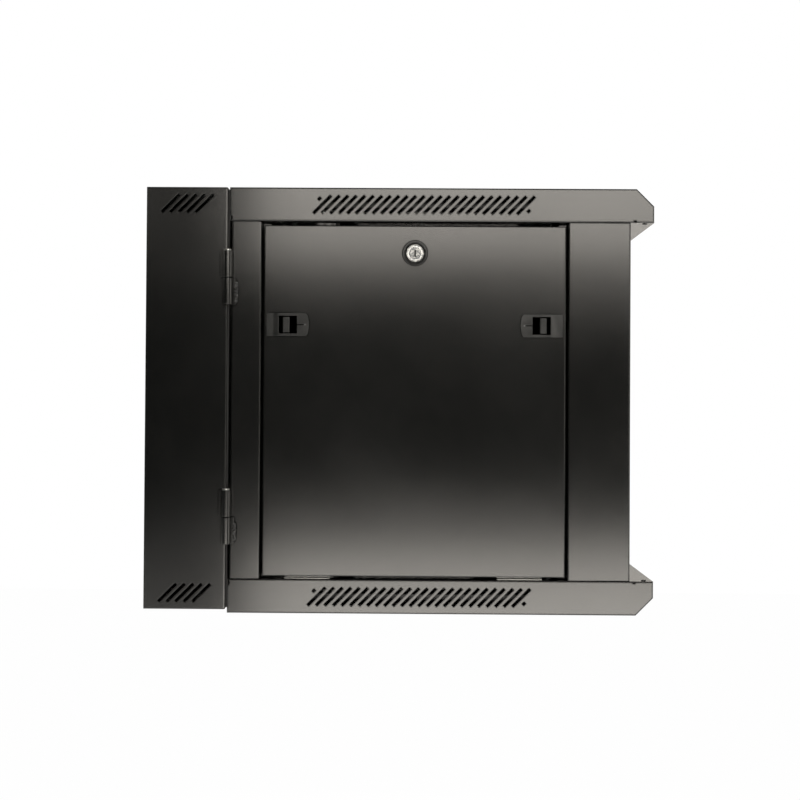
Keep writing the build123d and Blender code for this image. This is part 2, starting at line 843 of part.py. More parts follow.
def hook_cam(angle):
    inner = hook_pin_reach + hook_pin_radius + hook_clearance
    outer = inner + hook_ring
    ring = Cylinder(outer, cam_sheet) - Cylinder(inner, cam_sheet)
    far = 2 * outer
    low = (far * math.cos(math.radians(hook_start)), far * math.sin(math.radians(hook_start)))
    high = (far * math.cos(math.radians(hook_end)), far * math.sin(math.radians(hook_end)))
    wedge = make_face(Polyline((0, 0), low, (2 * far, 0), high, close=True))
    finger = ring & extrude(wedge, amount=cam_sheet, both=True)
    arm_length = (inner + outer) / 2
    arm_turn = hook_end - math.degrees(hook_arm / 2 / outer)
    arm = Rot(0, 0, arm_turn) * Pos(arm_length / 2, 0, 0) * Box(arm_length, hook_arm, cam_sheet)
    shape = finger + arm + Cylinder(cam_width / 2 + hook_hub_rim, cam_sheet) - shank_hole()
    return Pos(0, 0, -cam_place - cam_sheet / 2) * Rot(0, 0, angle) * shape


def on_left_panel(shape):
    seat = Plane((-side, depth(panel_middle), panel_lock_height), x_dir=(0, -1, 0), z_dir=(-1, 0, 0))
    return seat * shape


def on_door(shape):
    x = door_half - door_lock_inset
    return Plane((x, depth(door_front), 0), x_dir=(1, 0, 0), z_dir=(0, -1, 0)) * shape


def on_rear_post(shape):
    return Plane((side, depth(swing_lock_place), 0), x_dir=(0, 1, 0), z_dir=(1, 0, 0)) * shape


def swing_strike():
    pin_y = depth(swing_lock_place) + hook_pin_reach
    plate_out = side - strike_plate_place
    plate_in = plate_out - strike_sheet
    web_y = pin_y + strike_width
    front = pin_y - hook_pin_radius - strike_sheet
    half = strike_width / 2
    wall_face = side - sheet
    plate = block(plate_in, plate_out, front, web_y, -half, half)
    web = block(plate_in, wall_face, web_y - strike_sheet, web_y, -half, half)
    base = block(wall_face - strike_sheet, wall_face, web_y - strike_sheet, web_y + strike_base,
                 -half, half)
    pin_end = side - lip - strike_pin_play
    pin = rod((plate_out + pin_end) / 2, pin_y, 0, hook_pin_radius, pin_end - plate_out, (0, 90, 0))
    return plate + web + base + pin


# Glass door


def door_frame():
    front = depth(door_front)
    back = front + door_thickness
    outer = block(-door_half, door_half, front, back, -door_top, door_top)
    outer = fillet(outer.faces().sort_by(Axis.Y)[0].edges(), crisp_bend)
    inner = block(-door_half + sheet, door_half - sheet, front + sheet, back + cut_past,
                  -door_top + sheet, door_top - sheet)
    inner = fillet(inner.faces().sort_by(Axis.Y)[0].edges(), crisp_bend - sheet)
    window = block(-window_half(), window_half(), front - cut_past, front + 2 * sheet,
                   -window_top(), window_top())
    shape = outer - inner - window
    cuts = []
    z_first = -(door_slot_count - 1) / 2 * door_slot_pitch
    lean = Rot(0, slot_lean, 0)
    for hand in (-1, 1):
        x = hand * (door_half + window_half()) / 2
        for k in range(door_slot_count):
            z = z_first + k * door_slot_pitch
            if hand > 0 and abs(z) < bezel_radius + slot_length / 2:
                continue
            cuts.append(Pos(x, front, z) * lean * Box(slot_width, 4 * sheet, slot_length))
    cuts.append(on_door(Cylinder(lock_body_radius + lock_play, 6 * sheet)))
    hole = pivot_radius + hinge_running_play
    cuts += [rod(pivot_x(), depth(pivot_place()), hand * door_top, hole, 6 * sheet) for hand in (-1, 1)]
    return shape - cuts


def window_half():
    return door_half - door_side_bar


def window_top():
    return door_top - door_end_bar


def door_seal():
    face = depth(door_front) + sheet
    outer_x = window_half() + seal_width
    outer_z = window_top() + seal_width
    ring = block(-outer_x, outer_x, face, face + seal_sheet, -outer_z, outer_z)
    window = block(-window_half(), window_half(), face - cut_past, face + 2 * seal_sheet,
                   -window_top(), window_top())
    return ring - window


def door_glass():
    face = depth(door_front) + sheet + seal_sheet
    half = window_half() + glass_overlap
    high = window_top() + glass_overlap
    return block(-half, half, face, face + glass_sheet, -high, high)


def glass_clip(x, z, turn):
    face = depth(door_front) + sheet
    rise = seal_sheet + glass_sheet
    foot = block(-clip_width / 2, clip_width / 2, 0, clip_sheet, lock_play, clip_length / 2)
    outside = lock_play + clip_sheet
    wall = block(-clip_width / 2, clip_width / 2, 0, rise + clip_sheet, lock_play, outside)
    tip = block(-clip_width / 2, clip_width / 2, rise, rise + clip_sheet, -clip_hold, outside)
    return Pos(x, face, z) * Rot(0, turn, 0) * (foot + wall + tip)


def glass_clips():
    edge_x = window_half() + glass_overlap
    edge_z = window_top() + glass_overlap
    clips = []
    for share in (-0.5, 0.5):
        clips.append(glass_clip(share * edge_x, edge_z, 0))
        clips.append(glass_clip(share * edge_x, -edge_z, 180))
        clips.append(glass_clip(edge_x, share * edge_z, 90))
        clips.append(glass_clip(-edge_x, share * edge_z, -90))
    return clips


def pivot_pins():
    x = pivot_x()
    y = depth(pivot_place())
    high = cover_face + pivot_rise
    shaft = rod(x, y, high - pivot_length / 2, pivot_radius, pivot_length)
    head = rod(x, y, door_top - sheet - pivot_head / 2, pivot_head_radius, pivot_head)
    pin = shaft + head
    return [pin, mirror(pin, about=Plane.XY)]


def pivot_bushes():
    x = pivot_x()
    y = depth(pivot_place())
    sleeve_top = cover_face + sheet + bush_stand
    sleeve = rod(x, y, (cover_face + sleeve_top) / 2, bush_radius, sleeve_top - cover_face)
    flange = rod(x, y, cover_face - bush_flange / 2, bush_flange_radius, bush_flange)
    bush = sleeve + flange - rod(x, y, cover_face, pivot_radius + hinge_running_play, 6 * sheet)
    return [bush, mirror(bush, about=Plane.XY)]


def nose_plugs():
    plugs = []
    y = main_front + plug_setback
    for hand in (-1, 1):
        x = hand * (side - plug_side)
        head = rod(x, y, cover_face - plug_head / 2, plug_head_radius, plug_head)
        plug = head + rod(x, y, cover_face + plug_length / 2, plug_radius, plug_length)
        plugs += [plug, mirror(plug, about=Plane.XY)]
    return plugs


# Writing the parts

save("wall_frame", wall_frame())
save("back_plate", back_plate())
save("back_plate_screws", *back_screws())
save("wall_cable_covers", *wall_cable_covers())
save("earth_stud", *earth_stud())
save("wall_hinge_knuckles", knuckle(upper_hinge, 1), knuckle(lower_hinge, 1))
save("hinge_pins", hinge_pin(upper_hinge), hinge_pin(lower_hinge))
save("swing_lock_strike", swing_strike())

save("top_cover", cover(1) - fan_cuts())
save("bottom_cover", turned_over(cover(-1)))
save("top_cable_cover", cable_cover(depth(main_entry_place)))
save("bottom_cable_cover", turned_over(cable_cover(depth(main_entry_place))))
save("rear_post_left", rear_post())
save("rear_post_right", other_side(rear_post()) - swing_lock_hole())
save("front_post_left", front_post())
save("front_post_right", other_side(front_post()))
save("upper_depth_rail_left", depth_rail())
save("upper_depth_rail_right", other_side(depth_rail()))
save("lower_depth_rail_left", turned_over(other_side(depth_rail())))
save("lower_depth_rail_right", turned_over(depth_rail()))
save("front_rack_rail_left", rack_rail(front_rail_place, 1))
save("front_rack_rail_right", other_side(rack_rail(front_rail_place, 1)))
save("rear_rack_rail_left", rack_rail(rear_rail_place, -1))
save("rear_rack_rail_right", other_side(rack_rail(rear_rail_place, -1)))
save("frame_bolts", *frame_bolts())
save("main_hinge_knuckles", knuckle(upper_hinge, -1), knuckle(lower_hinge, -1))
save("nose_plugs", *nose_plugs())
save("door_pivot_bushes", *pivot_bushes())
save("swing_lock_housing", on_rear_post(lock_housing(False)))
save("swing_lock_nut", on_rear_post(lock_nut(False, post_sheet)))
save("swing_lock_plug", on_rear_post(lock_plug(False)))
save("swing_lock_cam", on_rear_post(hook_cam(90)), on_rear_post(cam_screw()))

for hand_name, place_side in (("left", lambda shape: shape), ("right", other_side)):
    save(hand_name + "_panel", place_side(panel()))
    save(hand_name + "_latch_bases", *[place_side(latch_at(hand, latch_base())) for hand in (-1, 1)])
    save(hand_name + "_rear_latch_slide", place_side(latch_at(-1, latch_slide())))
    save(hand_name + "_front_latch_slide", place_side(latch_at(1, latch_slide())))
    save(hand_name + "_lock_bezel", place_side(on_left_panel(lock_bezel())))
    save(hand_name + "_lock_housing", place_side(on_left_panel(lock_housing(True))))
    save(hand_name + "_lock_nut", place_side(on_left_panel(lock_nut(True, sheet))))
    save(hand_name + "_lock_plug", place_side(on_left_panel(lock_plug(True))))
    cam_parts = (lock_cam(cam_reach, 180), cam_screw())
    save(hand_name + "_lock_cam", *[place_side(on_left_panel(one)) for one in cam_parts])

save("door_frame", door_frame())
save("door_glass", door_glass())
save("door_seal", door_seal())
save("door_glass_clips", *glass_clips())
save("door_pivot_pins", *pivot_pins())
save("door_lock_housing", on_door(lock_housing(False)))
save("door_lock_nut", on_door(lock_nut(False, sheet)))
save("door_lock_plug", on_door(lock_plug(False)))
save("door_lock_cam", on_door(lock_cam(door_cam_reach, 90)), on_door(cam_screw()))
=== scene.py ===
import json
import math
import random
import bpy
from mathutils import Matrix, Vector


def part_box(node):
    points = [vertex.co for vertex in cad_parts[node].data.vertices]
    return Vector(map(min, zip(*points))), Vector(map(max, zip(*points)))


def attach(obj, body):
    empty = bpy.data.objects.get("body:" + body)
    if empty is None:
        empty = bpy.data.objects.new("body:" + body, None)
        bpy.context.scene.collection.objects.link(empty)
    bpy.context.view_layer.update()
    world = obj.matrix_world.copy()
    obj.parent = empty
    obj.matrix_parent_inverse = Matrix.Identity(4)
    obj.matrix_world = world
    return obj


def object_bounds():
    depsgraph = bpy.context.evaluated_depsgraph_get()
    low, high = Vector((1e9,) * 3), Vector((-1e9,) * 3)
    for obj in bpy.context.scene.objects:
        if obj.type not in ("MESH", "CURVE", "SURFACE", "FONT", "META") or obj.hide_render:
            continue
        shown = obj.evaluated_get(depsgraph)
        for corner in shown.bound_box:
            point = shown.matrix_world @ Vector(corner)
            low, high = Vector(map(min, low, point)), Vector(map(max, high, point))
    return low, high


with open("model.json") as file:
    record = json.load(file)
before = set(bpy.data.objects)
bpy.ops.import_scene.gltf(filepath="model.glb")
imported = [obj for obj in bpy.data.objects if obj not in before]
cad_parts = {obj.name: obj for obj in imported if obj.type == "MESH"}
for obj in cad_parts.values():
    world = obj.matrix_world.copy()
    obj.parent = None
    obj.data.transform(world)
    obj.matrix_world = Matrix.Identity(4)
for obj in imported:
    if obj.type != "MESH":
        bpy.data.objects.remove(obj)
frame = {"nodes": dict(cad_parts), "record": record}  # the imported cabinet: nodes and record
cadLow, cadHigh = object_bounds()
print("frame loaded:", len(frame["nodes"]), "nodes")

# Camera: straight at the left side panel, as in the photograph

cameraView = {
    "distance": 1.5,      # from the side panel's face
    "along": -0.3164,     # place on the depth axis
    "height": -0.0023,
    "pitch": 0.829,       # degrees, like the next two
    "roll": -0.349,
    "yaw": 0.426,
    "lens": 57.43,
    "sensor": 36.0,
    "shiftX": -0.0055,
    "shiftY": -0.020,
}


def placeCamera(view):
    data = bpy.data.cameras.new("photoCamera")
    data.lens = view["lens"]
    data.sensor_width = view["sensor"]
    data.shift_x = view["shiftX"]
    data.shift_y = view["shiftY"]
    camera = bpy.data.objects.new("photoCamera", data)
    bpy.context.scene.collection.objects.link(camera)
    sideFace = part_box("left_panel")[0].x
    camera.location = (sideFace - view["distance"], view["along"], view["height"])
    turns = (90 + view["pitch"], view["roll"], -90 + view["yaw"])
    camera.rotation_euler = [math.radians(turn) for turn in turns]
    bpy.context.scene.camera = camera


placeCamera(cameraView)
print("camera placed")

# Material helpers; a noise is given as its scale and detail

noiseRange = (0.35, 0.65)  # where a noise has most of its values
edgeSamples = 4


def newMaterial(name):
    material = bpy.data.materials.new(name)
    material.use_nodes = True
    tree = material.node_tree
    tree.nodes.clear()
    output = tree.nodes.new("ShaderNodeOutputMaterial")
    shader = tree.nodes.new("ShaderNodeBsdfPrincipled")
    tree.links.new(shader.outputs["BSDF"], output.inputs["Surface"])
    return material, tree, shader


def objectNoise(tree, scale, detail):
    place = tree.nodes.new("ShaderNodeTexCoord")
    noise = tree.nodes.new("ShaderNodeTexNoise")
    noise.inputs["Scale"].default_value = scale
    noise.inputs["Detail"].default_value = detail
    tree.links.new(place.outputs["Object"], noise.inputs["Vector"])
    return noise.outputs["Fac"]


def objectParts(tree):
    place = tree.nodes.new("ShaderNodeTexCoord")
    split = tree.nodes.new("ShaderNodeSeparateXYZ")
    tree.links.new(place.outputs["Object"], split.inputs["Vector"])
    return split.outputs


def spread(tree, value, low, high, fromLow=noiseRange[0], fromHigh=noiseRange[1]):
    ramp = tree.nodes.new("ShaderNodeMapRange")
    ramp.inputs["From Min"].default_value = fromLow
    ramp.inputs["From Max"].default_value = fromHigh
    ramp.inputs["To Min"].default_value = low
    ramp.inputs["To Max"].default_value = high
    tree.links.new(value, ramp.inputs["Value"])
    return ramp.outputs["Result"]


def blendColours(tree, value, first, second):
    mix = tree.nodes.new("ShaderNodeMix")
    mix.data_type = "RGBA"
    mix.inputs["A"].default_value = (*first, 1)
    if isinstance(second, tuple):
        mix.inputs["B"].default_value = (*second, 1)
    else:
        tree.links.new(second, mix.inputs["B"])
    tree.links.new(value, mix.inputs["Factor"])
    return mix.outputs["Result"]


def bumpOn(tree, height, depth, normal=None):
    bump = tree.nodes.new("ShaderNodeBump")
    bump.inputs["Distance"].default_value = depth
    bump.inputs["Strength"].default_value = 1.0
    tree.links.new(height, bump.inputs["Height"])
    if normal is not None:
        tree.links.new(normal, bump.inputs["Normal"])
    return bump.outputs["Normal"]


def softEdges(tree, radius):
    bevel = tree.nodes.new("ShaderNodeBevel")
    bevel.samples = edgeSamples
    bevel.inputs["Radius"].default_value = radius
    return bevel.outputs["Normal"]


def addMath(tree, operation, first, second=0):
    node = tree.nodes.new("ShaderNodeMath")
    node.operation = operation
    for socket, value in zip(node.inputs, (first, second)):
        if isinstance(value, (int, float)):
            socket.default_value = value
        else:
            tree.links.new(value, socket)
    return node.outputs["Value"]


def distanceFrom(tree, first, second, centre):
    parts = objectParts(tree)
    legs = [addMath(tree, "SUBTRACT", parts[axis], value)
            for axis, value in zip((first, second), centre)]
    squares = [addMath(tree, "MULTIPLY", leg, leg) for leg in legs]
    return addMath(tree, "SQRT", addMath(tree, "ADD", *squares))


# Satin black powder coat on all the sheet metal

paintLook = {
    "dark": (0.0040, 0.0044, 0.0041),
    "light": (0.0058, 0.0060, 0.0056),
    "cloud": (45.0, 3.0),
    "smear": (7.0, 2.0),
    "roughness": (0.140, 0.172),
    "specular": 0.75,
    "coat": 0.55,
    "coatRoughness": 0.13,
    "coatTint": (1.0, 0.985, 0.96),
    "edge": 0.0016,
    "paintedShadeReach": 0.0026,      # reach of the painted shade, a dark line in a corner
    "paintedShadeRange": (0.50, 0.88),
    "paintedShadeSamples": 6,
    "peel": (900.0, 1.0),
    "peelDepth": 0.00006,
    "wave": (5.0, 0.0),
    "waveDepth": 0.0010,
}
insideLook = {  # duller, on the rails behind the vents
    "specular": 0.48,
    "coat": 0.0,
    "roughness": (0.24, 0.30),
}
hookLook = {  # bare steel under the side panels' fold
    "steel": (0.30, 0.30, 0.29),
    "below": -0.2070,
    "blend": 0.0002,
}


def satinPaint(look, name="satinPaint", bare=None):
    material, tree, shader = newMaterial(name)
    cloud = objectNoise(tree, *look["cloud"])
    colour = blendColours(tree, spread(tree, cloud, 0, 1), look["dark"], look["light"])
    if bare:
        height = objectParts(tree)["Z"]
        edges = (bare["below"] - bare["blend"], bare["below"])
        colour = blendColours(tree, spread(tree, height, 0, 1, *edges), bare["steel"], colour)
        tree.links.new(spread(tree, height, 1, 0, *edges), shader.inputs["Metallic"])
    tree.links.new(colour, shader.inputs["Base Color"])
    smear = objectNoise(tree, *look["smear"])
    tree.links.new(spread(tree, smear, *look["roughness"]), shader.inputs["Roughness"])
    wave = objectNoise(tree, *look["wave"])
    normal = bumpOn(tree, wave, look["waveDepth"], softEdges(tree, look["edge"]))
    peel = objectNoise(tree, *look["peel"])
    normal = bumpOn(tree, peel, look["peelDepth"], normal)
    tree.links.new(normal, shader.inputs["Normal"])
    # Painted shade: ambient occlusion turns the reflection and coat down near a wall, a dark line in corners
    # and seams
    corner = tree.nodes.new("ShaderNodeAmbientOcclusion")
    corner.samples = look["paintedShadeSamples"]
    corner.inputs["Distance"].default_value = look["paintedShadeReach"]
    clear = spread(tree, corner.outputs["AO"], 0, 1, *look["paintedShadeRange"])
    specular = addMath(tree, "MULTIPLY", clear, look["specular"])
    tree.links.new(specular, shader.inputs["Specular IOR Level"])
    coat = addMath(tree, "MULTIPLY", clear, look["coat"])
    tree.links.new(coat, shader.inputs["Coat Weight"])
    shader.inputs["Coat Roughness"].default_value = look["coatRoughness"]
    shader.inputs["Coat Tint"].default_value = (*look["coatTint"], 1)
    return material


# Plated and polished metal

metalLooks = {
    "zincPlate": {
        "dark": (0.50, 0.51, 0.52), "light": (0.66, 0.66, 0.65), "roughness": (0.28, 0.40),
        "cloud": (60.0, 3.0), "grain": (260.0, 2.0), "grainDepth": 0.00004, "edge": 0.00015,
    },
    "polishedChrome": {
        "dark": (0.36, 0.365, 0.37), "light": (0.60, 0.60, 0.58), "roughness": (0.16, 0.24),
        "cloud": (420.0, 3.0), "grain": (700.0, 2.0), "grainDepth": 0.00003, "edge": 0.00008,
    },
    "plugChrome": {
        "dark": (0.12, 0.125, 0.13), "light": (0.34, 0.34, 0.33), "roughness": (0.16, 0.26),
        "cloud": (520.0, 3.0), "grain": (700.0, 2.0), "grainDepth": 0.00004, "edge": 0.00008,
    },
}
metalCloud = (0.42, 0.58)
paintedSlotShade = {
    "depth": 0.0003,      # depth under the plug's face where the painted shade starts
    "blend": 0.0002,
    "colour": (0.002, 0.002, 0.002),
}


def platedMetal(name, paintedShadeRecess=None):
    look = metalLooks[name]
    material, tree, shader = newMaterial(name)
    cloud = objectNoise(tree, *look["cloud"])
    shine = spread(tree, cloud, 0, 1, *metalCloud)
    colour = blendColours(tree, shine, look["dark"], look["light"])
    # Painted shade: the plug deeper than its face, the key slot's walls and floor, is coloured near black
    if paintedShadeRecess:
        axis, centre, edge = paintedShadeRecess
        offset = addMath(tree, "SUBTRACT", objectParts(tree)[axis], centre)
        out = addMath(tree, "ABSOLUTE", offset)
        shown = spread(tree, out, 0, 1, edge - paintedSlotShade["blend"], edge)
        colour = blendColours(tree, shown, paintedSlotShade["colour"], colour)
    tree.links.new(colour, shader.inputs["Base Color"])
    tree.links.new(spread(tree, cloud, *look["roughness"]), shader.inputs["Roughness"])
    grain = objectNoise(tree, *look["grain"])
    normal = bumpOn(tree, grain, look["grainDepth"], softEdges(tree, look["edge"]))
    tree.links.new(normal, shader.inputs["Normal"])
    shader.inputs["Metallic"].default_value = 1.0
    return material


# Moulded plastic, nylon and rubber

mouldedLooks = {
    "blackPlastic": {
        "dark": (0.010, 0.010, 0.010), "light": (0.014, 0.014, 0.013), "roughness": (0.30, 0.38),
        "grain": (1400.0, 1.0), "grainDepth": 0.00004, "edge": 0.0002,
    },
    "whiteNylon": {
        "dark": (0.70, 0.69, 0.65), "light": (0.78, 0.77, 0.73), "roughness": (0.40, 0.50),
        "grain": (900.0, 1.0), "grainDepth": 0.00003, "edge": 0.0003,
    },
    "ringGrey": {
        "dark": (0.020, 0.020, 0.019), "light": (0.045, 0.045, 0.043), "roughness": (0.22, 0.34),
        "grain": (900.0, 1.0), "grainDepth": 0.00002, "edge": 0.0001,
    },
    "blackRubber": {
        "dark": (0.012, 0.012, 0.012), "light": (0.020, 0.020, 0.019), "roughness": (0.60, 0.72),
        "grain": (1100.0, 1.0), "grainDepth": 0.00008, "edge": 0.0003,
    },
}
mouldedCloud = (80.0, 2.0)


def mouldedPlastic(name):
    look = mouldedLooks[name]
    material, tree, shader = newMaterial(name)
    cloud = objectNoise(tree, *mouldedCloud)
    colour = blendColours(tree, spread(tree, cloud, 0, 1), look["dark"], look["light"])
    tree.links.new(colour, shader.inputs["Base Color"])
    tree.links.new(spread(tree, cloud, *look["roughness"]), shader.inputs["Roughness"])
    grain = objectNoise(tree, *look["grain"])
    normal = bumpOn(tree, grain, look["grainDepth"], softEdges(tree, look["edge"]))
    tree.links.new(normal, shader.inputs["Normal"])
    return material


# Slide latches: a lighter satin black, with painted shade (near black, matt, no reflection) in the well
# behind the plate

latchLook = {
    "dark": (0.0085, 0.0092, 0.0084),
    "light": (0.0125, 0.0130, 0.0120),
    "cloud": (90.0, 2.0),
    "roughness": (0.21, 0.26),
    "specular": 0.85,
    "edge": 0.0004,
    "paintedShadeColour": (0.00001, 0.00001, 0.00001),
    "paintedShadeRoughness": 0.9,
    "slidePaintedShade": (0.2990, 0.2998),      # from the cabinet's middle; all inside is painted shade, matt
    "basePaintedShade": (0.3007, 0.3010),
}


def latchPlastic(look, name, paintedShadeFrom):
    material, tree, shader = newMaterial(name)
    cloud = objectNoise(tree, *look["cloud"])
    colour = blendColours(tree, spread(tree, cloud, 0, 1), look["dark"], look["light"])
    # Painted shade: inside the plate's face the colour is near black and the reflection is off
    out = addMath(tree, "ABSOLUTE", objectParts(tree)["X"])
    outside = spread(tree, out, 0, 1, *paintedShadeFrom)
    colour = blendColours(tree, outside, look["paintedShadeColour"], colour)
    tree.links.new(colour, shader.inputs["Base Color"])
    rough = tree.nodes.new("ShaderNodeMix")
    rough.inputs["A"].default_value = look["paintedShadeRoughness"]
    tree.links.new(outside, rough.inputs["Factor"])
    tree.links.new(spread(tree, cloud, *look["roughness"]), rough.inputs["B"])
    tree.links.new(rough.outputs["Result"], shader.inputs["Roughness"])
    shine = addMath(tree, "MULTIPLY", outside, look["specular"])
    tree.links.new(shine, shader.inputs["Specular IOR Level"])
    tree.links.new(softEdges(tree, look["edge"]), shader.inputs["Normal"])
    return material


# Lock bezels: glossy black

bezelLook = {
    "colour": (0.003, 0.003, 0.003),
    "smear": (150.0, 2.0),
    "roughness": (0.07, 0.11),
    "specular": 0.42,
    "edge": 0.0002,
}


def glossyBezel(look):
    material, tree, shader = newMaterial("glossyBezel")
    shader.inputs["Base Color"].default_value = (*look["colour"], 1)
    smear = objectNoise(tree, *look["smear"])
    tree.links.new(spread(tree, smear, *look["roughness"]), shader.inputs["Roughness"])
    tree.links.new(softEdges(tree, look["edge"]), shader.inputs["Normal"])
    shader.inputs["Specular IOR Level"].default_value = look["specular"]
    return material


# Toughened glass of the door

glassLook = {
    "tint": (0.62, 0.68, 0.67),
    "smear": (10.0, 3.0),
    "roughness": (0.0, 0.02),
    "ior": 1.50,
}


def toughGlass(look):
    material, tree, shader = newMaterial("toughGlass")
    shader.inputs["Base Color"].default_value = (*look["tint"], 1)
    smear = objectNoise(tree, *look["smear"])
    tree.links.new(spread(tree, smear, *look["roughness"]), shader.inputs["Roughness"])
    shader.inputs["Transmission Weight"].default_value = 1.0
    shader.inputs["IOR"].default_value = look["ior"]
    return material


# Hinge pins: bright plated head; the shaft inside the barrel is coloured near black as painted shade

pinLook = {
    "shaft": (0.010, 0.010, 0.009),
    "head": (0.60, 0.60, 0.58),
    "shaftRadius": (0.0032, 0.0036),
    "smear": (300.0, 2.0),
    "roughness": (0.25, 0.40),
    "edge": 0.0003,
}


def hingePin(look):
    material, tree, shader = newMaterial("hingePin")
    low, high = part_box("hinge_pins")
    middle = (low + high) / 2
    out = distanceFrom(tree, "X", "Y", (middle.x, middle.y))
    # Painted shade: the shaft inside this radius is coloured near black
    outside = spread(tree, out, 0, 1, *look["shaftRadius"])
    colour = blendColours(tree, outside, look["shaft"], look["head"])
    tree.links.new(colour, shader.inputs["Base Color"])
    smear = objectNoise(tree, *look["smear"])
    tree.links.new(spread(tree, smear, *look["roughness"]), shader.inputs["Roughness"])
    tree.links.new(softEdges(tree, look["edge"]), shader.inputs["Normal"])
    shader.inputs["Metallic"].default_value = 1.0
    return material


# Weld: painted, with painted highlights of light grey on the lumps' peaks, standing for glints

weldLook = {
    "dark": (0.004, 0.004, 0.004),
    "light": (0.160, 0.158, 0.150),
    "lumps": (600.0, 2.0),
    "paintedGlintFrom": (0.5, 0.7),
    "roughness": (0.14, 0.30),
    "specular": 1.0,
    "depth": 0.0030,
}


def weldedPaint(look):
    material, tree, shader = newMaterial("weldedPaint")
    lumps = objectNoise(tree, *look["lumps"])
    # Painted highlight: the lumps' peaks are coloured light grey
    paintedGlint = spread(tree, lumps, 0, 1, *look["paintedGlintFrom"])
    colour = blendColours(tree, paintedGlint, look["dark"], look["light"])
    tree.links.new(colour, shader.inputs["Base Color"])
    tree.links.new(spread(tree, lumps, *look["roughness"]), shader.inputs["Roughness"])
    tree.links.new(bumpOn(tree, lumps, look["depth"]), shader.inputs["Normal"])
    shader.inputs["Specular IOR Level"].default_value = look["specular"]
    return material


# A finish for each material slot, then those of single nodes by a word in their name

finishes = {
    "paint": satinPaint(paintLook),
    "zinc": platedMetal("zincPlate"),
    "chrome": platedMetal("polishedChrome"),
    "black_plastic": mouldedPlastic("blackPlastic"),
    "nylon": mouldedPlastic("whiteNylon"),
    "glass": toughGlass(glassLook),
    "seal": mouldedPlastic("blackRubber"),
}
ownFinishes = {
    "_panel": satinPaint(paintLook, "panelPaint", hookLook),
    "depth_rail": satinPaint({**paintLook, **insideLook}, "insidePaint"),
    "latch_slide": latchPlastic(latchLook, "slidePlastic", latchLook["slidePaintedShade"]),
    "latch_bases": latchPlastic(latchLook, "basePlastic", latchLook["basePaintedShade"]),
    "bezel": glossyBezel(bezelLook),
    "hinge_pins": hingePin(pinLook),
}
lockPlugs = ("left_lock_plug", "right_lock_plug", "swing_lock_plug", "door_lock_plug")


def plugFinish(name):
    low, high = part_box(name)
    if "door" in name:
        return platedMetal("plugChrome", ("Y", high.y, high.y - low.y - paintedSlotShade["depth"]))
    inner = high.x if high.x < 0 else low.x
    return platedMetal("plugChrome", ("X", inner, high.x - low.x - paintedSlotShade["depth"]))


for plugName in lockPlugs:
    ownFinishes[plugName] = plugFinish(plugName)


def finishOf(name, slotName):
    for word, material in ownFinishes.items():
        if word in name:
            return material
    return finishes[slotName]


for subpart in frame["record"]["subparts"]:
    node = frame["nodes"][subpart["node"]]
    node.data.materials.clear()
    node.data.materials.append(finishOf(subpart["node"], subpart["material_slot"]))
print("finishes on the frame:", len(finishes) + len(ownFinishes))

# Piece helpers

smoothAngle = math.radians(35)


def clearSelection():
    bpy.ops.object.select_all(action="DESELECT")


def selectOnly(piece):
    clearSelection()
    piece.select_set(True)
    bpy.context.view_layer.objects.active = piece


def settle(piece, body, slotName, material=None):
    selectOnly(piece)
    bpy.ops.object.transform_apply(location=True, rotation=True, scale=True)
    bpy.ops.object.shade_smooth_by_angle(angle=smoothAngle)
    piece.data.materials.clear()
    piece.data.materials.append(material or finishes[slotName])
    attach(piece, body)


def applyModifier(piece, kind, **settings):
    selectOnly(piece)
    modifier = piece.modifiers.new(kind.lower(), kind)
    for name, value in settings.items():
        setattr(modifier, name, value)
    bpy.ops.object.modifier_apply(modifier=modifier.name)


# Weld beads that hold the lower knuckles to the rear post

weldBead = {
    "seed": 7,
    "lumps": 9,
    "radius": 0.0031,
    "uneven": 0.55,
    "stretch": (0.62, 0.85, 1.15),
    "segments": 16,
    "rings": 10,
    "overWing": 0.0002,   # from the wing's edge
    "wander": 0.0008,
    "rise": 0.0013,       # over the post's face
    "sink": 0.35,         # of a lump's radius, back from that
    "share": 0.88,        # of the knuckle's length
    "voxel": 0.00025,
    "smoothing": 0.5,
    "smoothPasses": 2,
}
beadSpans = {"upperWeldBead": (0.1135, 0.1405), "lowerWeldBead": (-0.1655, -0.1435)}


def addWeldBead(name, low, high, body):
    draw = random.Random(weldBead["seed"])
    length = (high - low) * weldBead["share"]
    start = low + (high - low - length) * 0.5
    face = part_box("rear_post_left")[0].x - weldBead["rise"]
    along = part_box("main_hinge_knuckles")[0].y + weldBead["overWing"]
    wander = weldBead["wander"]
    lumps = []
    clearSelection()
    for k in range(weldBead["lumps"]):
        size = weldBead["radius"] * (1 - weldBead["uneven"] * draw.random())
        height = start + length * (k + 0.5) / weldBead["lumps"]
        place = (face - size * weldBead["sink"], along + draw.uniform(-wander, wander), height)
        bpy.ops.mesh.primitive_uv_sphere_add(
            segments=weldBead["segments"], ring_count=weldBead["rings"],
            radius=size, location=place)
        lump = bpy.context.object
        lump.scale = weldBead["stretch"]
        lumps.append(lump)
    selectOnly(lumps[0])
    for lump in lumps:
        lump.select_set(True)
    bpy.ops.object.join()
    bead = bpy.context.object
    bead.name = name
    bpy.ops.object.transform_apply(location=True, rotation=True, scale=True)
    applyModifier(bead, "REMESH", mode="VOXEL", voxel_size=weldBead["voxel"])
    applyModifier(bead, "SMOOTH", factor=weldBead["smoothing"],
                  iterations=weldBead["smoothPasses"])
    settle(bead, body, "paint", weldedPaint(weldLook))


for beadName, (beadLow, beadHigh) in beadSpans.items():
    addWeldBead(beadName, beadLow, beadHigh, "main_section")
print("weld beads added")

# Bright end of the stop pin at the slit of each latch plate

